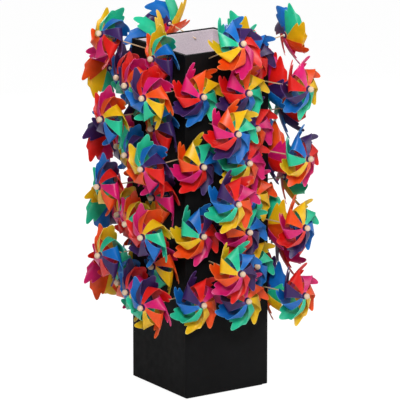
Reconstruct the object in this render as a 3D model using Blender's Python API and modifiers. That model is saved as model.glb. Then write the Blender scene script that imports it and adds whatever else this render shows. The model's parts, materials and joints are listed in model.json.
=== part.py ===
"""Kinetic wind sculpture: seven-vane pinwheels on thin wooden stems that stand out from all four sides of a tall
square box. Metres, +Z up. The origin is the centre of the underside of the box, and -Y is its front."""

import math

import bmesh
import bpy
import numpy as np
from mathutils import Matrix, Vector

# Box
BOX_SIDE = 0.200
BOX_HEIGHT = 0.715  # from the ground to the rim
WALL = 0.006
FLOOR_THICKNESS = 0.010
EDGE_RADIUS = 0.0015
PAD_THICKNESS = 0.003
PAD_INSET = 0.008
LINER_THICKNESS = 0.003
LINER_BELOW_RIM = 0.002
BALLAST_HEIGHT = 0.060
BALLAST_GAP = 0.004  # between the ballast and the liners
SEAT_GAP = 0.0003  # between pieces that rest on each other

# Pinwheel
VANE_COUNT = 7
WHEEL_RADIUS = 0.0695
WHEEL_DEPTH = 0.037  # from the back of the back hub to the front of the front hub
HUB_RADIUS = 0.0065
HUB_THICKNESS = 0.0025
TUBE_RADIUS = 0.0029
BORE_RADIUS = 0.0020
VANE_THICKNESS = 0.0010

# Stem, with its stop collar and bead
STEM_RADIUS = 0.00125
STEM_SIDES = 6
STEM_TAIL = 0.008  # what shows inside the liner
HOLE_CLEARANCE = 0.0004
COLLAR_RADIUS = 0.0032
COLLAR_THICKNESS = 0.0020
BEAD_RADIUS = 0.0060
RUN_CLEARANCE = 0.0004  # between a hub and its collar or bead

# Where the wheels stand: five columns on each side, with their wheels at three depths. A column is (name, steps across,
# depth, first row), and has a wheel in every second row. Rows count upwards from 0.
COLUMNS = (
    ("far_left", -2, 0, 0),
    ("left", -1, 2, 1),
    ("middle", 0, 1, 0),
    ("right", 1, 0, 1),
    ("far_right", 2, 2, 0),
)
ROW_COUNT = 8
TOP = ROW_COUNT - 1
COLUMN_STEP = 0.0430
COLUMN_GAP = 0.0040  # between two wheels one above the other
WALL_CLEARANCE = 0.0035  # behind the wheels nearest the box
NESTING = 0.85  # share of a wheel's depth that the next depth needs, because the wheels are thin at their edge
DEPTH_GAP = 0.0040
TOP_HOLE_BELOW_RIM = 0.0120
INNER_DROP = 0.0135  # the right columns hang lower, so that their top stems pass under the rim
END_DROP = 0.0040  # and so do the far left ones
FAN = math.radians(15)  # the far right columns lean round the corner
TOP_RISES = (0.030, 0.014, 0.010, 0.024)  # of the left columns' top wheels on each side, which lean over the rim
SIDE_DROPS = (0.004, 0.012, 0.006, 0.000)  # how much lower one side's wheels hang than another's
SWAY_SEED = 6
SWAY_ASIDE = 0.0060
SWAY_UP = 0.0012

HALF = BOX_SIDE / 2
INSIDE = HALF - WALL
PITCH = WHEEL_RADIUS + COLUMN_GAP / 2
TOP_HOLE = BOX_HEIGHT - TOP_HOLE_BELOW_RIM
UP = Vector((0, 0, 1))
SIDES = ("front", "right", "back", "left")


def clear_scene():
    for obj in list(bpy.data.objects):
        bpy.data.objects.remove(obj, do_unlink=True)


def new_collection(name):
    collection = bpy.data.collections.new(name)
    bpy.context.scene.collection.children.link(collection)
    return collection


def material(name, colour, roughness, metallic=0.0):
    made = bpy.data.materials.new(name)
    made.use_nodes = True
    shader = made.node_tree.nodes["Principled BSDF"]
    shader.inputs["Base Color"].default_value = (*colour, 1)
    shader.inputs["Roughness"].default_value = roughness
    shader.inputs["Metallic"].default_value = metallic
    return made


def add_object(name, mesh, collection, *materials):
    obj = bpy.data.objects.new(name, mesh)
    for each in materials:
        if each.name not in mesh.materials:
            mesh.materials.append(each)
    collection.objects.link(obj)
    return obj


def as_cutter(obj):
    obj.hide_render = True
    obj.display_type = "WIRE"


def boolean(obj, other, operation):
    modifier = obj.modifiers.new(operation.title(), "BOOLEAN")
    modifier.object = other
    modifier.operation = operation
    modifier.solver = "EXACT"


def block_mesh(name, low, high):
    """A box between two corners."""
    low, high = Vector(low), Vector(high)
    shape = bmesh.new()
    size = Matrix.Diagonal((*(high - low), 1))
    bmesh.ops.create_cube(shape, size=1, matrix=Matrix.Translation((low + high) / 2) @ size)
    mesh = bpy.data.meshes.new(name)
    shape.to_mesh(mesh)
    shape.free()
    return mesh


def turned_mesh(name, profile, sides):
    """A closed solid turned about Z. The profile is (radius, height) from its top on the axis to its foot on the axis."""
    mesh = bpy.data.meshes.new(name)
    mesh.from_pydata([(r, 0, z) for r, z in profile], [(i, i + 1) for i in range(len(profile) - 1)], [])
    lathe = bpy.data.objects.new(name, mesh)
    bpy.context.scene.collection.objects.link(lathe)
    screw = lathe.modifiers.new("Screw", "SCREW")
    screw.steps = screw.render_steps = sides
    screw.use_merge_vertices = True
    screw.merge_threshold = 0.00001
    graph = bpy.context.evaluated_depsgraph_get()
    made = bpy.data.meshes.new_from_object(lathe.evaluated_get(graph))
    bpy.data.objects.remove(lathe)
    return made


def joined_mesh(name, pieces):
    """One mesh of (mesh, matrix) pairs."""
    shape = bmesh.new()
    for mesh, matrix in pieces:
        mesh.transform(matrix)
        shape.from_mesh(mesh)
        bpy.data.meshes.remove(mesh)
    made = bpy.data.meshes.new(name)
    shape.to_mesh(made)
    shape.free()
    return made


def side_frame(side):
    """Outward direction of a side of the box, and the direction along it to the right as seen from outside."""
    angle = math.radians(90 * side - 90)
    outward = Vector((math.cos(angle), math.sin(angle), 0))
    return outward, UP.cross(outward)


def row_height(row):
    return TOP_HOLE + INNER_DROP - PITCH * (TOP - row)


def reach(depth):
    """From the middle of the box to the middle of a wheel."""
    return HALF + WALL_CLEARANCE + WHEEL_DEPTH / 2 + depth * (NESTING * WHEEL_DEPTH + DEPTH_GAP)


class Station:
    """One pinwheel's place: the hole in a side of the box, and the middle of the wheel that its stem points to."""

    def __init__(self, name, side, hole, centre):
        self.name, self.side, self.hole = name, side, hole
        self.axis = (centre - hole).normalized()
        self.back = centre - self.axis * WHEEL_DEPTH / 2

    def frame(self, turn=0.0):
        """Z along the stem from the back of the wheel, with the wheel turned about it."""
        placed = self.axis.to_track_quat("Z", "Y").to_matrix().to_4x4()
        return Matrix.Translation(self.back) @ placed @ Matrix.Rotation(turn, 4, "Z")


def column_stations(side, column, draw):
    """The wheels of one column, from the lowest. Those nearest the box stand in line, the next ones sway a little with
    their holes, and the stems of the outermost lean."""
    name, steps, depth, first = column
    outward, along = side_frame(side)
    drop = SIDE_DROPS[side] + {"right": INNER_DROP, "far_left": END_DROP}.get(name, 0.0)
    lean = (reach(depth) - HALF) * math.tan(FAN) if name == "far_right" else 0.0
    for row in range(first, ROW_COUNT, 2):
        sway = draw.uniform(-1, 1, 2) * (SWAY_ASIDE, SWAY_UP)
        shift, tilt = {0: (0.0, 0.0), 1: (0.25, 0.0), 2: (0.0, 1.0)}[depth]
        across, level = (steps * COLUMN_STEP, row_height(row) - drop) + shift * sway
        hole = TOP_HOLE if name == "left" and row == TOP else level
        rise = level + TOP_RISES[side] if name == "left" and row == TOP else level
        centre = outward * reach(depth) + along * (across + lean + tilt * sway[0]) + UP * (rise + tilt * sway[1])
        yield Station(f"row{row + 1}_{SIDES[side]}_{name}", side, outward * HALF + along * across + UP * hole, centre)


def stations():
    """All the wheels. A stem passes outside the circles of the wheels beside it, because neighbours are further apart
    than a wheel's radius, and neighbours never share a depth unless they are further apart than its diameter."""
    draw = np.random.default_rng(SWAY_SEED)
    return [place for side in range(4) for column in COLUMNS for place in column_stations(side, column, draw)]


def modelled(place):
    """A folder of parts holds 60 at most, so the hidden wheels nearest the box are left out, except at the rim."""
    nearest = place.name.endswith(("_far_left", "_right")) and not place.name.endswith("_far_right")
    return not nearest or place.name.startswith(f"row{ROW_COUNT}_")


def wheel_mesh():
    """A back and a front hub on a spacer tube, and seven vanes. Each vane is a loft of four-cornered sections from a
    side of the back hub, out and round, to the same side of the front hub. X is along the vane from the hub, and the
    vane spreads to -Y."""
    radius, depth = WHEEL_RADIUS, WHEEL_DEPTH
    flat = HUB_RADIUS * math.cos(math.pi / VANE_COUNT)
    half_side = HUB_RADIUS * math.sin(math.pi / VANE_COUNT)
    t = VANE_THICKNESS / 2
    # (x, z) of the outer and the inner face of the sheet, and the y of its two edges.
    sections = (
        ((flat, 0.0), (flat, HUB_THICKNESS), half_side, -half_side),
        ((0.42 * radius, 0.10 * depth - t), (0.42 * radius, 0.10 * depth + t), 0.03 * radius, -0.37 * radius),
        ((0.60 * radius + t, 0.5 * depth), (0.60 * radius - t, 0.5 * depth), 0.02 * radius, -0.78 * radius),
        ((flat, depth), (flat, depth - HUB_THICKNESS), half_side, -half_side),
    )
    points, faces = [], []

    def ring(points_of_one_seventh):
        """Adds a group of points for each vane, and returns the index of the first."""
        first = len(points)
        for k in range(VANE_COUNT):
            turn = Matrix.Rotation(2 * math.pi * k / VANE_COUNT, 3, "Z")
            points.extend(tuple(turn @ Vector(p)) for p in points_of_one_seventh)
        return first

    # The hub corners belong to two sides, so only the section's first edge adds them.
    hub_levels = [0.0, HUB_THICKNESS, depth - HUB_THICKNESS, depth]
    hub = {z: ring([(flat, half_side, z)]) for z in hub_levels}
    bore = {z: ring([(BORE_RADIUS, 0, z)]) for z in (0.0, depth)}
    tube = {z: ring([(TUBE_RADIUS, 0, z)]) for z in hub_levels[1:3]}
    middle = []
    for outer, inner, edge_a, edge_b in sections[1:-1]:
        corners = [(outer, edge_a), (outer, edge_b), (inner, edge_b), (inner, edge_a)]
        middle.append(ring([(x, y, z) for (x, z), y in corners]))
    for k in range(VANE_COUNT):
        before = (k - 1) % VANE_COUNT

        def hub_section(outer, inner):
            return [hub[outer] + k, hub[outer] + before, hub[inner] + before, hub[inner] + k]

        chain = [hub_section(0.0, HUB_THICKNESS)]
        chain += [[first + 4 * k + i for i in range(4)] for first in middle]
        chain += [hub_section(depth, depth - HUB_THICKNESS)]
        for one, two in zip(chain, chain[1:]):
            faces += [(one[i], one[(i + 1) % 4], two[(i + 1) % 4], two[i]) for i in range(4)]
        rings = (
            (bore[0.0], hub[0.0]),
            (hub[HUB_THICKNESS], tube[HUB_THICKNESS]),
            (tube[HUB_THICKNESS], tube[depth - HUB_THICKNESS]),
            (tube[depth - HUB_THICKNESS], hub[depth - HUB_THICKNESS]),
            (hub[depth], bore[depth]),
            (bore[depth], bore[0.0]),
        )
        faces += [(a + before, a + k, b + k, b + before) for a, b in rings]
    mesh = bpy.data.meshes.new("pinwheel")
    mesh.from_pydata(points, [], faces)
    shape = bmesh.new()
    shape.from_mesh(mesh)
    bmesh.ops.recalc_face_normals(shape, faces=shape.faces)
    bmesh.ops.triangulate(shape, faces=shape.faces)
    shape.to_mesh(mesh)
    shape.free()
    return mesh


def stem_length_inside(station):
    """From the hole's mouth, along the stem, to its cut end inside the liner."""
    outward, _ = side_frame(station.side)
    slant = station.axis.dot(outward)
    return (WALL + SEAT_GAP + LINER_THICKNESS + STEM_TAIL) / slant


def stem_mesh(station):
    """A stem with its bead glued on the front end and its stop collar behind the wheel, along the station's Z."""
    bead_back = WHEEL_DEPTH + RUN_CLEARANCE
    middle = bead_back + BEAD_RADIUS
    arc = [math.radians(90 - 45 * i) for i in range(4)]
    profile = [(BEAD_RADIUS * math.cos(a), middle + BEAD_RADIUS * math.sin(a)) for a in arc]
    profile[0] = (0.0, middle + BEAD_RADIUS)
    profile += [(STEM_RADIUS, bead_back), (STEM_RADIUS, -RUN_CLEARANCE)]
    profile += [(COLLAR_RADIUS, -RUN_CLEARANCE), (COLLAR_RADIUS, -RUN_CLEARANCE - COLLAR_THICKNESS)]
    foot = -(station.back - station.hole).length - stem_length_inside(station)
    profile += [(STEM_RADIUS, -RUN_CLEARANCE - COLLAR_THICKNESS), (STEM_RADIUS, foot), (0.0, foot)]
    return turned_mesh("stem", profile, STEM_SIDES)


def drill_mesh(station):
    """What a hole takes out of the wall."""
    outward, _ = side_frame(station.side)
    slant = station.axis.dot(outward)
    deep, out = (WALL + LINER_THICKNESS) / slant, WALL / slant
    radius = (STEM_RADIUS + HOLE_CLEARANCE) / math.cos(math.pi / STEM_SIDES)
    start = -(station.back - station.hole).length
    profile = [(0.0, start + out), (radius, start + out), (radius, start - deep), (0.0, start - deep)]
    return turned_mesh("drill", profile, STEM_SIDES)


def box_shell(places, collection, cutters, finish):
    low = PAD_THICKNESS + SEAT_GAP
    shell = add_object(
        "box_shell", block_mesh("box_shell", (-HALF, -HALF, low), (HALF, HALF, BOX_HEIGHT)), collection, finish
    )
    bevel = shell.modifiers.new("Bevel", "BEVEL")
    bevel.width = EDGE_RADIUS
    bevel.segments = 2
    room = block_mesh(
        "room", (-INSIDE, -INSIDE, low + FLOOR_THICKNESS), (INSIDE, INSIDE, BOX_HEIGHT + WALL)
    )
    drills = joined_mesh("drills", [(drill_mesh(p), p.frame()) for p in places])
    for mesh in (room, drills):
        cutter = add_object(mesh.name, mesh, cutters)
        as_cutter(cutter)
        boolean(shell, cutter, "DIFFERENCE")


def liner(side, places, collection, cutters, finish, wood):
    """A panel inside one wall, with every stem that is glued through it. The front and back ones fit between the walls,
    and the other two between those."""
    outward, along = side_frame(side)
    outer = INSIDE - SEAT_GAP
    half_width = outer if side % 2 == 0 else outer - LINER_THICKNESS - SEAT_GAP
    foot = PAD_THICKNESS + FLOOR_THICKNESS + 2 * SEAT_GAP
    ends = (outward * outer + along * half_width, outward * (outer - LINER_THICKNESS) - along * half_width)
    low = Vector([min(a, b) for a, b in zip(*ends)]) + UP * foot
    high = Vector([max(a, b) for a, b in zip(*ends)]) + UP * (BOX_HEIGHT - LINER_BELOW_RIM)
    name = f"liner_{SIDES[side]}"
    panel = add_object(name, block_mesh(name, low, high), collection, finish, wood)
    stems = joined_mesh(f"stems_{SIDES[side]}", [(stem_mesh(p), p.frame()) for p in places])
    glued = add_object(stems.name, stems, cutters, wood)
    as_cutter(glued)
    boolean(panel, glued, "UNION")


def main():
    clear_scene()
    parts = new_collection("kinetic_wind_sculpture")
    cutters = new_collection("cutters")
    black = material("matte_black", (0.012, 0.012, 0.013), 0.55)
    white = material("liner_white", (0.75, 0.72, 0.76), 0.6)
    wood = material("pale_wood", (0.78, 0.60, 0.42), 0.5)
    rubber = material("rubber", (0.03, 0.03, 0.03), 0.8)
    concrete = material("concrete", (0.45, 0.44, 0.42), 0.9)
    vanes = material("vane_sheet", (0.85, 0.08, 0.15), 0.35)

    places = [place for place in stations() if modelled(place)]
    box_shell(places, parts, cutters, black)
    for side in range(4):
        liner(side, [p for p in places if p.side == side], parts, cutters, white, wood)

    pad_half = HALF - PAD_INSET
    pad = block_mesh("base_pad", (-pad_half, -pad_half, 0), (pad_half, pad_half, PAD_THICKNESS))
    add_object("base_pad", pad, parts, rubber)

    ballast_half = INSIDE - 2 * SEAT_GAP - LINER_THICKNESS - BALLAST_GAP
    foot = PAD_THICKNESS + FLOOR_THICKNESS + 2 * SEAT_GAP
    ballast = block_mesh(
        "ballast_block", (-ballast_half, -ballast_half, foot), (ballast_half, ballast_half, foot + BALLAST_HEIGHT)
    )
    add_object("ballast_block", ballast, parts, concrete)

    wheel = wheel_mesh()
    for number, place in enumerate(places):
        # The golden angle keeps neighbouring wheels from standing alike.
        turn = number * math.pi * (3 - math.sqrt(5))
        spinner = add_object(f"pinwheel_{place.name}", wheel, parts, vanes)
        spinner.matrix_world = place.frame(turn)


main()
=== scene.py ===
# %% [markdown]
# # A wind sculpture made of pinwheels
#
# The object is a tall square box with an open top. Its sides carry rainbow pinwheels, each on a thin
# wooden stem with a pale bead in front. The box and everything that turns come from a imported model, which
# is loaded here as a fixed frame. This lesson gives that frame its looks: the sheets of the vanes, their
# eyes, the clear tubes, the wood and the finishes.

# %% Load the frame
import json
import math

import bmesh
import bpy
import numpy as np
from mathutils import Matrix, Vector


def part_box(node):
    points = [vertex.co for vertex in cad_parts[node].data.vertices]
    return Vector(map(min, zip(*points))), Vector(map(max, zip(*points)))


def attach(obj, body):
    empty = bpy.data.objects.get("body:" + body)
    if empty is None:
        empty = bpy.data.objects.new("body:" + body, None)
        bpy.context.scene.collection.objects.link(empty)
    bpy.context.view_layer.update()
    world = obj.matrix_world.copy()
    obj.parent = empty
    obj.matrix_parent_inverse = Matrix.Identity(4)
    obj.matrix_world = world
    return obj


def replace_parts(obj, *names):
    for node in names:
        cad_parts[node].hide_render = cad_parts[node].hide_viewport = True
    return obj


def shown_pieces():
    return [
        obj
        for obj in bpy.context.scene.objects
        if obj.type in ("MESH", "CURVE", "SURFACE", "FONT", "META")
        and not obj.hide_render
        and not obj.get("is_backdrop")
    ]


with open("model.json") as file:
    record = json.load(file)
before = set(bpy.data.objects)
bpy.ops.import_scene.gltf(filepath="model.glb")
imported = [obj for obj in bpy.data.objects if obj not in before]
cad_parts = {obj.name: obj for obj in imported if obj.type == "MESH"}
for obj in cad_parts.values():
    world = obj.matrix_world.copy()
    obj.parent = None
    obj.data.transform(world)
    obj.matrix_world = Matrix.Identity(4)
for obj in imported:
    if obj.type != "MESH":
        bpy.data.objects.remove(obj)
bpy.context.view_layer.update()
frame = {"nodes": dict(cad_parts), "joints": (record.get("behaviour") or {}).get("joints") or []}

# %% [markdown]
# ## Where everything is
#
# Each pinwheel turns on a hinge, so the list of joints says where the middle of each wheel is, and which
# way its stem points. The box gives the face that a stem leaves. A few more sizes belong to the wheel and
# its spacing. Nothing else is needed, because every piece of a wheel is made about its own axis and then
# set in its place.

# %% Sizes
WHEEL_RADIUS = 0.0695
WHEEL_DEPTH = 0.037
VANES = 7
ROWS = 8
PITCH = 0.0715  # between the rows
COLUMN_STEP = 0.043  # between the columns on a side
HIGHER = 0.0095  # the far left column against the right one, in the same row

STEM_RADIUS = 0.00125
COLLAR_RADIUS = 0.0032
COLLAR_THICKNESS = 0.002
BEAD_RADIUS = 0.0060
RUN_CLEARANCE = 0.0004  # between a wheel and its collar or bead
TAIL = 0.008  # what a stem shows inside the lining
SHORT_TAIL = 0.002  # and behind a wheel that stands still
INTO_BEAD = 0.004  # from a wheel's front to the end of its stem, inside the bead
END_CUT = 0.0003  # the softened corner of a stem's cut end
COLLAR_CUT = 0.0004

WALL = 0.006
LINING = 0.003
SEAT_GAP = 0.0003  # between pieces that rest on each other
LINING_FOOT = 0.0136
LINING_BELOW_RIM = 0.002

box_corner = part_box("box_shell")[1]
HALF, RIM = box_corner[0], box_corner[2]
SIDES = ("front", "right", "back", "left")
print("box: %.3f wide, %.3f tall" % (2 * HALF, RIM))

# %% [markdown]
# ## Surfaces on a grid
#
# Every new shape here is a grid of points that numpy works out at once: one parameter runs along the
# piece and the other across it. One helper turns such a grid into four-sided faces. A second one closes a
# thin sheet: it moves the grid half a thickness to each side along its normals and joins the two along
# the rim. A third one turns a profile about an axis.


# %% Grid helpers
def grid_faces(rows, columns, wrap=False):
    """Faces between neighbouring points of a grid that is stored row by row. With wrap, the last column
    meets the first."""
    i, j = np.meshgrid(np.arange(rows - 1), np.arange(columns if wrap else columns - 1), indexing="ij")
    k = (j + 1) % columns
    corners = (i * columns + j, i * columns + k, (i + 1) * columns + k, (i + 1) * columns + j)
    return np.stack([c.ravel() for c in corners], axis=1)


def sheet_solid(middle, thickness):
    """Closes a thin sheet. Each point goes half the thickness along the normal, the cross product of the
    grid's two directions, and half the other way, and a band of faces joins the two along the border."""
    rows, columns, _ = middle.shape
    normal = np.cross(np.gradient(middle, axis=1), np.gradient(middle, axis=0))
    normal /= np.linalg.norm(normal, axis=2, keepdims=True)
    points = np.concatenate([(middle + side * normal * thickness / 2).reshape(-1, 3) for side in (1, -1)])
    count = rows * columns
    index = np.arange(count).reshape(rows, columns)
    border = np.concatenate([index[0, :-1], index[:-1, -1], index[-1, :0:-1], index[:0:-1, 0]])
    following = np.roll(border, -1)
    face = grid_faces(rows, columns)
    rim = np.stack([border, border + count, following + count, following], axis=1)
    return points, np.concatenate([face, face[:, ::-1] + count, rim])


def turned_solid(profile, sides):
    """A solid of revolution about Z: the point at profile (r, z) and angle a is (r cos a, r sin a, z). The
    profile is a closed loop or goes from axis to axis, and runs so that its outside is on its right."""
    profile = np.asarray(profile, float)
    angle = np.linspace(0, 2 * math.pi, sides, endpoint=False)
    r, z = profile[:, :1], np.repeat(profile[:, 1:], sides, axis=1)
    points = np.stack([r * np.cos(angle), r * np.sin(angle), z], axis=2).reshape(-1, 3)
    return points, grid_faces(len(profile), sides, wrap=True)


def about_z(angle):
    """The matrix that turns points by this angle about Z."""
    c, s = math.cos(angle), math.sin(angle)
    return np.array([[c, -s, 0], [s, c, 0], [0, 0, 1]])


def through(knots, s):
    """A smooth curve through knots (place, value): between two knots it is the cubic whose slope at each
    knot is that of the parabola through the knot and its two neighbours."""
    x, y = np.array(knots, float).T
    slope = np.gradient(y, x)
    i = np.clip(np.searchsorted(x, s) - 1, 0, len(x) - 2)
    step = x[i + 1] - x[i]
    t = (s - x[i]) / step
    straight = (1 - t) * y[i] + t * y[i + 1]
    rise = y[i + 1] - y[i]
    return straight + t * (1 - t) * ((1 - t) * (slope[i] * step - rise) + t * (rise - slope[i + 1] * step))


def eased(a, b, s):
    """0 before a, 1 after b, and smooth between."""
    t = np.clip((s - a) / (b - a), 0, 1)
    return t * t * (3 - 2 * t)


def joined(pieces):
    """One list of points and one of faces from several, with the length of each list of faces."""
    starts = np.cumsum([0] + [len(points) for points, _ in pieces])
    faces = [np.asarray(face) + start for (_, face), start in zip(pieces, starts)]
    return np.concatenate([points for points, _ in pieces]), np.concatenate(faces), [len(f) for f in faces]


def make_piece(name, points, faces, materials, slots=None, shares=None, crease=40):
    """A mesh object at the origin, smooth except across edges sharper than the crease, in degrees. Points
    that fall together at a pole or a seam are merged. Shares, one for each point, become an attribute that
    holds the painted edge highlight's share."""
    mesh = bpy.data.meshes.new(name)
    rings = faces.tolist() if isinstance(faces, np.ndarray) else faces
    mesh.from_pydata(np.asarray(points, np.float32), [], rings)
    for each in materials:
        mesh.materials.append(each)
    if slots is not None:
        mesh.polygons.foreach_set("material_index", np.asarray(slots, np.int32))
    if shares is not None:
        mesh.attributes.new("painted_edge_highlight", "FLOAT", "POINT").data.foreach_set("value", shares)
    merged = bmesh.new()
    merged.from_mesh(mesh)
    bmesh.ops.remove_doubles(merged, verts=merged.verts, dist=1e-6)
    merged.to_mesh(mesh)
    merged.free()
    mesh.shade_smooth()
    mesh.set_sharp_from_angle(angle=math.radians(crease))
    mesh.validate()
    piece = bpy.data.objects.new(name, mesh)
    bpy.context.scene.collection.objects.link(piece)
    return piece


print("helpers ready")

# %% [markdown]
# ## Finishes
#
# The vanes are cut from thin coloured plastic with a satin, slightly frosted face: the colour is even, fine
# grain breaks the shine, and a little light passes through. A paler band along the cut edge is a painted
# highlight, where the thin edge catches the light. The stems and beads are unfinished pale wood. The box is
# painted matte black, and its lining is a whitish card. Values that are the same all over sit on the
# shader's own sockets, and only grain, mottling and the painted edge highlight come from nodes.


# %% Material helpers
def linear(*rgb):
    """From 0 to 255 on screen, to the linear light that a shader takes."""
    c = np.array(rgb) / 255
    return (*np.where(c <= 0.04045, c / 12.92, ((c + 0.055) / 1.055) ** 2.4).tolist(), 1.0)


class Finish:
    """A material with its shader, and short ways to add a noise, a mix of two colours and a bump."""

    def __init__(self, name, colour, roughness, **values):
        self.material = bpy.data.materials.new(name)
        self.material.use_nodes = True
        self.nodes, self.links = self.material.node_tree.nodes, self.material.node_tree.links
        self.shader = self.nodes["Principled BSDF"]
        self.shader.inputs["Base Color"].default_value = colour
        self.shader.inputs["Roughness"].default_value = roughness
        for socket, value in values.items():
            self.shader.inputs[socket.replace("_", " ")].default_value = value
        self.place = self.nodes.new("ShaderNodeTexCoord").outputs["Object"]
        self.material.diffuse_color = colour

    def noise(self, scale, detail=2.0, stretch=(1, 1, 1)):
        """Noise from 0 to 1 at the piece's own coordinates. A small stretch along an axis makes it long
        there."""
        mapping = self.nodes.new("ShaderNodeMapping")
        mapping.inputs["Scale"].default_value = stretch
        self.links.new(self.place, mapping.inputs["Vector"])
        texture = self.nodes.new("ShaderNodeTexNoise")
        texture.inputs["Scale"].default_value = scale
        texture.inputs["Detail"].default_value = detail
        self.links.new(mapping.outputs["Vector"], texture.inputs["Vector"])
        return texture.outputs["Fac"]

    def ramp(self, value, low, high, a=0.0, b=1.0):
        """From a to b as the value goes from low to high."""
        node = self.nodes.new("ShaderNodeMapRange")
        for socket, number in zip(("From Min", "From Max", "To Min", "To Max"), (low, high, a, b)):
            node.inputs[socket].default_value = number
        self.links.new(value, node.inputs["Value"])
        return node.outputs["Result"]

    def mix(self, share, one, two):
        """From one to two as the share goes from 0 to 1. Each is a colour or the output of a node."""
        node = self.nodes.new("ShaderNodeMix")
        node.data_type = "RGBA"
        self.links.new(share, node.inputs["Factor"])
        for socket, value in ((6, one), (7, two)):
            if isinstance(value, tuple):
                node.inputs[socket].default_value = value
            else:
                self.links.new(value, node.inputs[socket])
        return node.outputs[2]

    def attribute(self, name):
        """The number that the mesh holds under this name at each point."""
        node = self.nodes.new("ShaderNodeAttribute")
        node.attribute_name = name
        return node.outputs["Fac"]

    def colour(self, output):
        self.links.new(output, self.shader.inputs["Base Color"])

    def roughness(self, output):
        self.links.new(output, self.shader.inputs["Roughness"])

    def bump(self, height, depth, strength=1.0):
        """Shades the surface as if the height, from 0 to 1, rose by the depth in metres."""
        node = self.nodes.new("ShaderNodeBump")
        node.inputs["Strength"].default_value = strength
        node.inputs["Distance"].default_value = depth
        self.links.new(height, node.inputs["Height"])
        self.links.new(node.outputs["Normal"], self.shader.inputs["Normal"])


def shade(colour, factor):
    """The colour times the factor, with each part at most 1."""
    return (*[min(1.0, c * factor) for c in colour[:3]], 1.0)


# %% The seven sheet colours
def vane_sheet(name, colour, edge):
    """Satin plastic sheet: mottled very lightly, frosted by a fine grain, with a painted highlight along the
    edge.
    """
    glow = {"Subsurface_Weight": 0.06, "Subsurface_Scale": 0.002}
    finish = Finish(name, colour, 0.38, **glow, Specular_IOR_Level=0.40)
    mottled = finish.mix(finish.ramp(finish.noise(55), 0.35, 0.65), shade(colour, 0.90), shade(colour, 1.06))
    # Towards the border the colour goes paler: a painted highlight where the thin cut edge catches the
    # light.
    finish.colour(finish.mix(finish.attribute("painted_edge_highlight"), mottled, edge))
    finish.roughness(finish.ramp(finish.noise(140), 0.3, 0.7, 0.34, 0.46))
    finish.bump(finish.noise(1500), 0.00008, 0.35)
    return finish.material


# Each sheet's own colour, and a paler one for the painted highlight along its edge.
RAINBOW = {
    "purple": (linear(54, 28, 88), linear(110, 84, 155)),
    "red": (linear(222, 24, 18), linear(250, 84, 66)),
    "magenta": (linear(210, 20, 106), linear(244, 96, 164)),
    "orange": (linear(236, 76, 14), linear(255, 136, 72)),
    "yellow": (linear(236, 184, 14), linear(255, 218, 100)),
    "turquoise": (linear(32, 192, 146), linear(120, 234, 198)),
    "blue": (linear(10, 104, 188), linear(80, 164, 226)),
}
vane_finishes = [vane_sheet(f"{name}_sheet", *colours) for name, colours in RAINBOW.items()]
print("sheets, clockwise from the front:", ", ".join(RAINBOW))


# %% Wood, tube, lining, box, pad and ballast
def pale_wood(name, colour, scale):
    """Light wood: fine long pores that are darker, over a slow change of colour."""
    finish = Finish(name, colour, 0.55)
    slowly = finish.ramp(finish.noise(scale / 12), 0.35, 0.65)
    slow = finish.mix(slowly, shade(colour, 0.86), shade(colour, 1.06))
    pores = finish.ramp(finish.noise(scale, 3.0, (1, 1, 0.25)), 0.52, 0.72)
    finish.colour(finish.mix(pores, slow, shade(colour, 0.68)))
    finish.bump(finish.noise(scale, 3.0, (1, 1, 0.25)), 0.00006, 0.5)
    return finish.material


stem_wood = pale_wood("stem_wood", linear(222, 190, 150), 900)
bead_wood = pale_wood("bead_wood", linear(232, 204, 174), 700)
clear_tube = Finish("clear_tube", linear(238, 243, 246), 0.12, Transmission_Weight=0.85, IOR=1.46).material
collar_plastic = Finish("collar_plastic", linear(235, 232, 225), 0.35)
collar_plastic.bump(collar_plastic.noise(1200), 0.00003, 0.3)

lining = Finish("lining_card", linear(214, 200, 208), 0.75)
card = lining.noise(420, 4.0)
lining.colour(lining.mix(lining.ramp(card, 0.35, 0.65), linear(204, 190, 199), linear(222, 209, 216)))
lining.bump(card, 0.0001, 0.5)

paint = Finish("matte_black_paint", linear(12, 12, 13), 0.60, Specular_IOR_Level=0.12)
cloudy = paint.noise(9, 3.0)
paint.colour(paint.mix(paint.ramp(cloudy, 0.3, 0.7), linear(10, 10, 11), linear(16, 16, 17)))
paint.roughness(paint.ramp(paint.noise(60, 3.0), 0.3, 0.7, 0.56, 0.70))
paint.bump(paint.noise(1300, 3.0), 0.00012, 0.35)

rubber = Finish("pad_rubber", linear(30, 30, 31), 0.85)
rubber.bump(rubber.noise(700), 0.0002, 0.6)
concrete = Finish("ballast_concrete", linear(168, 165, 160), 0.9)
sand = concrete.noise(260, 6.0)
concrete.colour(concrete.mix(concrete.ramp(sand, 0.3, 0.7), linear(138, 135, 130), linear(188, 185, 179)))
concrete.bump(sand, 0.0006, 0.8)
print("finishes:", len(bpy.data.materials))

# %% [markdown]
# ## The box, its pad and its ballast
#
# The box is one shell of flat walls with eased edges and a small hole for each stem, and its shape is
# already right. So the frame's own pieces stay, and only take their finish: black paint, rubber under the
# foot, and rough concrete for the weight that stops the wind from tipping it.


# %% Finish of the kept pieces
def finish_node(node, material):
    """Gives a piece of the frame this material in place of its own."""
    mesh = frame["nodes"][node].data
    mesh.materials.clear()
    mesh.materials.append(material)


for node, material in (
    ("box_shell", paint.material),
    ("base_pad", rubber.material),
    ("ballast_block", concrete.material),
):
    finish_node(node, material)
print("kept pieces: box_shell, base_pad, ballast_block")

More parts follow.
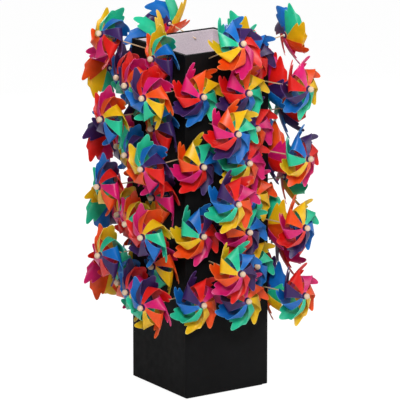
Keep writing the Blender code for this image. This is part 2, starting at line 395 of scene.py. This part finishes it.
# %% [markdown]
# ## Where a wheel stands
#
# A wheel has a frame of its own: Z runs along the stem from the back of the wheel to its front, and the
# wheel is turned about it. A place knows this frame, and carries points from it to the room. It also
# finds where its stem leaves the box, which is where the line of the stem meets the nearest face. Each
# wheel is turned by a whole number of golden angles, so that neighbours stand differently.
#
# The wheels stand at three depths. Two of the five columns on a side belong to the nearest depth, where
# the wheels in front cover most of them. The frame has only the top wheel of those two columns, so the
# others are added here as wheels that stand still: straight below that top wheel, and three columns to
# its left, a little higher than their row there.


# %% Places
class Place:
    """The stand of one wheel: its name, the body that it turns with, and its frame."""

    def __init__(self, name, middle, axis, number, body):
        self.name, self.body = name, body
        axis = Vector(axis).normalized()
        golden = math.pi * (3 - math.sqrt(5))
        self.axis = np.array(axis)
        self.turned = np.array(axis.to_track_quat("Z", "Y").to_matrix()) @ about_z(number * golden)
        self.back = np.array(middle) - self.axis * WHEEL_DEPTH / 2

    def carry(self, points):
        """From the wheel's own frame to the room."""
        return points @ self.turned.T + self.back

    def reach_to_face(self):
        """How far behind the wheel the stem enters the box, on which side, and the cosine of its lean
        there."""
        outward = [np.array([math.cos(a), math.sin(a), 0]) for a in np.radians([-90, 0, 90, 180])]
        reach = [(self.back @ o - HALF) / max(self.axis @ o, 1e-9) for o in outward]
        hit = [abs((self.back - self.axis * d) @ outward[k - 1]) < HALF for k, d in enumerate(reach)]
        side = min((d, k) for k, d in enumerate(reach) if hit[k] and d > 0)[1]
        return reach[side], side, self.axis @ outward[side]


places = []
for number, joint in enumerate(frame["joints"]):
    name = joint["child"].removeprefix("pinwheel_")
    places.append(Place(name, joint["pos_m"], joint["axis"], number, joint["child"]))

still = []
for side, side_name in enumerate(SIDES):
    top_wheel = next(j for j in frame["joints"] if j["child"] == f"pinwheel_row{ROWS}_{side_name}_right")
    middle, axis = np.array(top_wheel["pos_m"]), np.array(top_wheel["axis"])
    along = np.array([-axis[1], axis[0], 0])
    for row in (2, 4, 6, 1, 3, 5, 7):
        column, across, rise = ("far_left", -3, HIGHER) if row % 2 else ("right", 0, 0)
        centre = middle + across * COLUMN_STEP * along - [0, 0, (ROWS - row) * PITCH - rise]
        still.append(Place(f"row{row}_{side_name}_{column}", centre, axis, 5 * side + row, "stand"))
print("wheels that turn:", len(places), "and wheels that stand still behind them:", len(still))

# %% [markdown]
# ## The lining
#
# Four plain panels of whitish card line the inside of the box, and the stems are glued through them. They
# show only past the rim, where the stems' cut ends stand out from them. A panel is a profile with
# softened corners carried upwards, so it is a grid too: around the profile one way, and up the panel the
# other way.


# %% Lining panels
def panel_solid(width, thickness, low, high, softening=0.0006):
    """A flat board that stands upright. Its outline in plan is a rectangle whose corners are cut by the
    softening, and the foot and the top repeat that cut, so the board is a stack of outlines that ends in
    two flat faces."""
    x, y, c = width / 2, thickness / 2, softening

    def outline(inset):
        a, b = x - inset, y - inset
        right = [(a - c, -b), (a, -b + c), (a, b - c), (a - c, b)]
        left = [(-a + c, b), (-a, b - c), (-a, -b + c)]
        return [(-a + c, -b)] + right + left

    levels = [(low, c), (low + c, 0), (high - c, 0), (high, c)]
    points = np.array([(px, py, z) for z, inset in levels for px, py in outline(inset)])
    faces = grid_faces(4, 8, wrap=True).tolist() + [list(range(7, -1, -1)), list(range(24, 32))]
    return points, faces


def round_the_box(points, side):
    """Turns points that face -Y to another side of the box."""
    return points @ about_z(math.radians(90 * side)).T


inside = HALF - WALL - SEAT_GAP
for side, side_name in enumerate(SIDES):
    half_width = inside if side % 2 == 0 else inside - LINING - SEAT_GAP
    points, faces = panel_solid(2 * half_width, LINING, LINING_FOOT, RIM - LINING_BELOW_RIM)
    points = round_the_box(points + [0, -inside + LINING / 2, 0], side)
    piece = make_piece(f"lining_{side_name}", points, faces, [lining.material], crease=30)
    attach(piece, "stand")
    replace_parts(piece, f"liner_{side_name}")
    print(piece.name, "is %.0f mm wide" % (2000 * half_width))

# %% [markdown]
# ## Stems, collars and beads
#
# A stem is a thin round wooden stick. It starts at a cut end inside the box, goes through the wheel, and
# ends in a bead that is glued on. A small collar behind the wheel keeps it off the box. All three are
# turned shapes: a profile of radius against height, carried round the stem's axis. Their profiles run
# from foot to tip, so that the faces point outwards.


# %% Turned pieces
def stem_parts(place):
    """The stick, whose cut end is eased and whose other end is inside the bead, and the collar with
    softened corners."""
    reach, _, slant = place.reach_to_face()
    tail = SHORT_TAIL if place.body == "stand" else TAIL
    foot = -reach - (WALL + SEAT_GAP + LINING + tail) / slant
    tip = WHEEL_DEPTH + INTO_BEAD
    r = STEM_RADIUS
    stick = [(0, foot), (r * 0.85, foot), (r, foot + END_CUT), (r, tip), (0, tip)]
    high, cut = -RUN_CLEARANCE, COLLAR_CUT
    low, wide, narrow = high - COLLAR_THICKNESS, COLLAR_RADIUS, COLLAR_RADIUS - cut
    ring = [(r, low), (narrow, low), (wide, low + cut), (wide, high - cut), (narrow, high), (r, high)]
    return turned_solid(stick, sides=10), turned_solid(ring + ring[:1], sides=14)


def bead_part():
    """A ball, very slightly flattened at both ends, where the drill goes in."""
    angle = np.linspace(-math.pi / 2, math.pi / 2, 11)
    middle = WHEEL_DEPTH + RUN_CLEARANCE + BEAD_RADIUS
    height = np.clip(BEAD_RADIUS * np.sin(angle), -0.96 * BEAD_RADIUS, 0.97 * BEAD_RADIUS)
    return turned_solid(np.stack([BEAD_RADIUS * np.cos(angle), middle + height], axis=1), sides=18)


for side, side_name in enumerate(SIDES):
    here = [p for p in places + still if p.reach_to_face()[1] == side]
    stick, ring = zip(*[stem_parts(p) for p in here])
    kinds = {
        "stems": (stick, stem_wood),
        "collars": (ring, collar_plastic.material),
        "beads": ([bead_part()] * len(here), bead_wood),
    }
    for kind, (solids, material) in kinds.items():
        placed = [(p.carry(points), faces) for p, (points, faces) in zip(here, solids)]
        points, faces, _ = joined(placed)
        piece = make_piece(f"{kind}_{side_name}", points, faces, [material])
        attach(piece, "stand")
    print(side_name, "side:", len(here), "stems with a collar and a bead each")

# %% [markdown]
# ## One vane
#
# A vane is one flat sheet with an eye at each end. The back eye goes on the tube first. The sheet spreads
# out from it, curls forwards over a short fold, and comes back as a strip that narrows like a triangle to
# the front eye. The line of the fold slants: it lies further out at its clockwise end. From there the
# free side of the sheet sticks out clockwise along the same line, as a broad rounded finger, a small
# notch, and a rounded shoulder nearer the hub. The free side isn't held, so it bends a little further
# round.
#
# So one parameter goes along the loop, from the back eye to the front one, and the other goes across the
# sheet, from the free edge to the other edge. Two smooth curves through a few knots say how far each edge
# lies along the fold's line. The depth is squeezed with the radius, as a curled sheet does that is held
# at its middle, which also keeps it inside the room that its wheel has.

# %% Edges of the sheet
FOLD = 0.57  # from the axis to the fold's line, in wheel radii
SLANT = math.radians(30)  # the fold's line against the strip
BEND = 0.25  # how far the tip of the free side bends round, in wheel radii
TIP = 0.985  # the furthest that a vane reaches, in wheel radii
CURLS = (0.93, 1.0)  # the least and the most of the fold's distance that a vane keeps
SHEET = 0.0005
EYE_RADIUS = 0.0074
EYE_HOLE = 0.0019
EYE_STEP = 0.00034  # between two eyes in a stack
TUBE_RADIUS = 0.0029
TUBE_BORE = 0.0021

FREE_EDGE = (
    (0.02, 0.05), (0.045, 0.34), (0.07, 0.59), (0.095, 0.71), (0.122, 0.745), (0.148, 0.715), (0.165, 0.695),
    (0.187, 0.775), (0.22, 0.875), (0.265, 0.925), (0.32, 0.925), (0.37, 0.88), (0.415, 0.80), (0.46, 0.71),
    (0.50, 0.64), (0.56, 0.59), (0.62, 0.545), (0.70, 0.475), (0.80, 0.34), (0.90, 0.19), (0.98, 0.05),
)
OTHER_EDGE = (
    (0.02, -0.05), (0.10, -0.06), (0.20, -0.05), (0.35, 0.01), (0.50, 0.09), (0.60, 0.09),
    (0.70, 0.075), (0.80, 0.045), (0.90, 0.0), (0.98, -0.05),
)
ALONG = np.concatenate([np.linspace(0.02, 0.46, 22)[:-1], np.linspace(0.46, 0.98, 11)])
ACROSS = np.array([0, 0.03, 0.27, 0.52, 0.77, 0.97, 1.0])
print("a vane has", len(ALONG), "by", len(ACROSS), "points")


# %% The vane's surface
def vane_surface(level, curl=1.0):
    """Points of one vane about the wheel's axis, with its strip near +X and its free side towards -Y.

    At place s along the loop the angle is a = pi (s - 1/2). Across the sheet, v goes evenly from one edge
    curve to the other, and is the place along the fold's line. The distance from the parallel of that line
    through the axis is w = fold (cos a)^0.74, which is rounder at the fold than an ellipse, less the bend
    times the square of v. The bend fades out past the fold. Then x = w cos(slant) + v sin(slant) and y = w
    sin(slant) - v cos(slant). The share of the depth is (1 + sin a) / 2, and z is that share of the way
    between a back and a front limit, which come together with the radius."""
    s = ALONG[:, None]
    v = through(FREE_EDGE, s) * (1 - ACROSS) + through(OTHER_EDGE, s) * ACROSS
    angle = math.pi * (s - 0.5)
    w = FOLD * curl * np.cos(angle) ** 0.74 - BEND * np.maximum(v, 0) ** 2 * (1 - eased(0.5, 0.62, s))
    x = w * math.cos(SLANT) + v * math.sin(SLANT)
    y = w * math.sin(SLANT) - v * math.cos(SLANT)
    r = np.hypot(x, y)
    over = np.maximum(r / TIP, 1)
    x, y, r = x / over, y / over, np.minimum(r, TIP)
    # Near the axis the two limits of the depth turn into this vane's own places in the stacks of eyes.
    away = eased(0.10, 0.36, r)
    seat = (level + 0.5) * EYE_STEP / WHEEL_DEPTH
    back = (0.045 + 0.40 * r**2.4) * away + seat * (1 - away)
    front = (0.985 - 0.43 * r**2.6) * away + (1 - seat) * (1 - away)
    z = back + (front - back) * (1 + np.sin(angle)) / 2
    return np.stack([x * WHEEL_RADIUS, y * WHEEL_RADIUS, z * WHEEL_DEPTH], axis=2)


def eye_solid(height):
    """A flat ring with its middle plane at that height."""
    half = 0.46 * EYE_STEP  # so that two eyes in a stack don't quite touch
    low, high = height - half, height + half
    loop = [(EYE_HOLE, low), (EYE_RADIUS, low), (EYE_RADIUS, high), (EYE_HOLE, high)]
    return turned_solid(loop + loop[:1], sides=12)


def wheel_solids(curls):
    """The seven vanes, clockwise as seen from the front, each with its two eyes. The first vane's eye lies
    in front."""
    solids = []
    for k, curl in enumerate(curls):
        points, faces = sheet_solid(vane_surface(k, curl), SHEET)
        low, high = (k + 0.5) * EYE_STEP, WHEEL_DEPTH - (k + 0.5) * EYE_STEP
        solids += [(points @ about_z(-2 * math.pi * k / VANES).T, faces), eye_solid(low), eye_solid(high)]
    return solids


sample = vane_surface(0)
print("a vane reaches %.1f mm from the axis" % (1000 * np.hypot(sample[..., 0], sample[..., 1]).max()))

# %% [markdown]
# ## All the wheels
#
# Each wheel is one piece with seven finishes, because its vanes turn as one, and a clear spacer tube is a
# second piece on the same body. A real wheel is bent by hand, so each vane's curl differs a little,
# always in the same seeded way.


# %% Wheels and tubes
def tube_solid():
    """A clear tube between the two stacks of eyes."""
    stack = (VANES + 0.2) * EYE_STEP  # the eyes and a narrow gap
    low, high = stack, WHEEL_DEPTH - stack
    loop = [(TUBE_BORE, low), (TUBE_RADIUS, low), (TUBE_RADIUS, high), (TUBE_BORE, high)]
    return turned_solid(loop + loop[:1], sides=14)


# 1 along the border of a vane's grid, where the painted edge highlight goes, and 0 elsewhere.
painted_highlight_share = np.zeros((len(ALONG), len(ACROSS)))
painted_highlight_share[[0, -1], :] = painted_highlight_share[:, [0, -1]] = 1


def make_wheel(place, chance):
    """The vanes and the tube of one wheel, on their body. It returns the vanes."""
    points, faces, lengths = joined(wheel_solids(chance.uniform(*CURLS, VANES)))
    slots = np.repeat(np.repeat(np.arange(VANES), 3), lengths)
    eyes = np.zeros(2 * len(eye_solid(0)[0]))
    # The share of the painted edge highlight at each point: both faces of each vane, then its eyes at 0.
    shares = np.tile(np.concatenate([painted_highlight_share.ravel(), painted_highlight_share.ravel(), eyes]), VANES)
    vanes = place.carry(points)
    wheel = make_piece(f"vanes_{place.name}", vanes, faces, vane_finishes, slots, shares, crease=50)
    tube_points, tube_faces = tube_solid()
    tube = make_piece(f"spacer_tube_{place.name}", place.carry(tube_points), tube_faces, [clear_tube])
    for piece in (wheel, tube):
        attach(piece, place.body)
    return wheel


chance = np.random.default_rng(11)
for place in places:
    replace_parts(make_wheel(place, chance), place.body)
for place in still:
    make_wheel(place, chance)
faces_in_all = sum(len(o.data.polygons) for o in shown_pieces())
print("wheels:", len(places) + len(still), "and faces in all:", faces_in_all)

# %% [markdown]
# ## Camera
#
# The camera looks at a corner of the box from a little above, through a long lens from far away, so that
# the upright edges stay parallel.

# %% Camera
azimuth, elevation = math.radians(-33.2), math.radians(14.2)
width_seen = 0.8147  # in the plane of the object's middle
looks_at = Vector((0, 0, 0.384))
away = Vector(
    (math.sin(azimuth) * math.cos(elevation), -math.cos(azimuth) * math.cos(elevation), math.sin(elevation))
)
lens = bpy.data.cameras.new("camera")
lens.lens, lens.sensor_width = 400, 36
lens.clip_start, lens.clip_end = 0.1, 100
camera = bpy.data.objects.new("camera", lens)
camera.location = looks_at + away * width_seen * lens.lens / lens.sensor_width
camera.rotation_euler = away.to_track_quat("Z", "Y").to_euler()
bpy.context.scene.collection.objects.link(camera)
bpy.context.scene.camera = camera
print("camera at", [round(c, 2) for c in camera.location])

# %% [markdown]
# ## Floor and light
#
# A broad pale floor carries the shadow, and everything behind the object is white for rays that come from
# the camera or go through the clear tubes. A big soft lamp on the left in front is the main light. Weaker
# ones on the right, above and behind, and a little even light from the room, open the shadows between the
# vanes.


# %% Floor, room and lamps
def seen_directly(tree):
    """1 for rays from the camera or through something clear, and 0 for the rest."""
    path = tree.nodes.new("ShaderNodeLightPath")
    add = tree.nodes.new("ShaderNodeMath")
    add.operation = "MAXIMUM"
    tree.links.new(path.outputs["Is Camera Ray"], add.inputs[0])
    tree.links.new(path.outputs["Is Transmission Ray"], add.inputs[1])
    return add.outputs[0]


floor_finish = bpy.data.materials.new("floor")
floor_finish.use_nodes = True
tree = floor_finish.node_tree
ground = tree.nodes["Principled BSDF"]
ground.inputs["Base Color"].default_value = (0.86, 0.86, 0.86, 1)
ground.inputs["Roughness"].default_value = 0.9
glow = tree.nodes.new("ShaderNodeEmission")
glow.inputs["Strength"].default_value = 1.13
share = tree.nodes.new("ShaderNodeMath")
share.operation = "MULTIPLY"
share.inputs[1].default_value = 0.85
tree.links.new(seen_directly(tree), share.inputs[0])
blend = tree.nodes.new("ShaderNodeMixShader")
tree.links.new(share.outputs[0], blend.inputs[0])
tree.links.new(ground.outputs[0], blend.inputs[1])
tree.links.new(glow.outputs[0], blend.inputs[2])
tree.links.new(blend.outputs[0], tree.nodes["Material Output"].inputs["Surface"])

FLOOR_RADIUS, CORNERS, BELOW = 6, 64, 0.0002
angle = np.linspace(0, 2 * math.pi, CORNERS, endpoint=False)
disc = np.stack([FLOOR_RADIUS * np.cos(angle), FLOOR_RADIUS * np.sin(angle), 0 * angle - BELOW], axis=1)
floor = make_piece("floor", disc, [list(range(CORNERS))], [floor_finish])
floor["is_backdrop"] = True

ROOM_LIGHT = 0.14  # for the rays that light the object, where the white behind it is 1
world = bpy.data.worlds.new("room")
bpy.context.scene.world = world
world.use_nodes = True
tree = world.node_tree
sky = tree.nodes["Background"]
sky.inputs["Color"].default_value = (1, 1, 1, 1)
level = tree.nodes.new("ShaderNodeMapRange")
level.inputs["To Min"].default_value = ROOM_LIGHT
level.inputs["To Max"].default_value = 1.0
tree.links.new(seen_directly(tree), level.inputs["Value"])
tree.links.new(level.outputs["Result"], sky.inputs["Strength"])


def soft_lamp(name, place, target, size, watts):
    """A round lamp of this size that faces the target."""
    data = bpy.data.lights.new(name, "AREA")
    data.shape, data.size, data.energy = "DISK", size, watts
    lamp = bpy.data.objects.new(name, data)
    lamp.location = place
    lamp.rotation_euler = (Vector(place) - Vector(target)).to_track_quat("Z", "Y").to_euler()
    bpy.context.scene.collection.objects.link(lamp)


middle = (0, 0, 0.42)
soft_lamp("main_lamp", (-1.2, -1.9, 1.9), middle, 0.8, 52)
soft_lamp("side_lamp", (1.9, -1.1, 1.0), middle, 1.2, 17)
soft_lamp("top_lamp", (0.1, 0.2, 2.4), middle, 1.0, 16)
soft_lamp("back_lamp", (0.6, 2.1, 1.3), middle, 1.2, 26)
bpy.context.scene.view_settings.view_transform = "Standard"
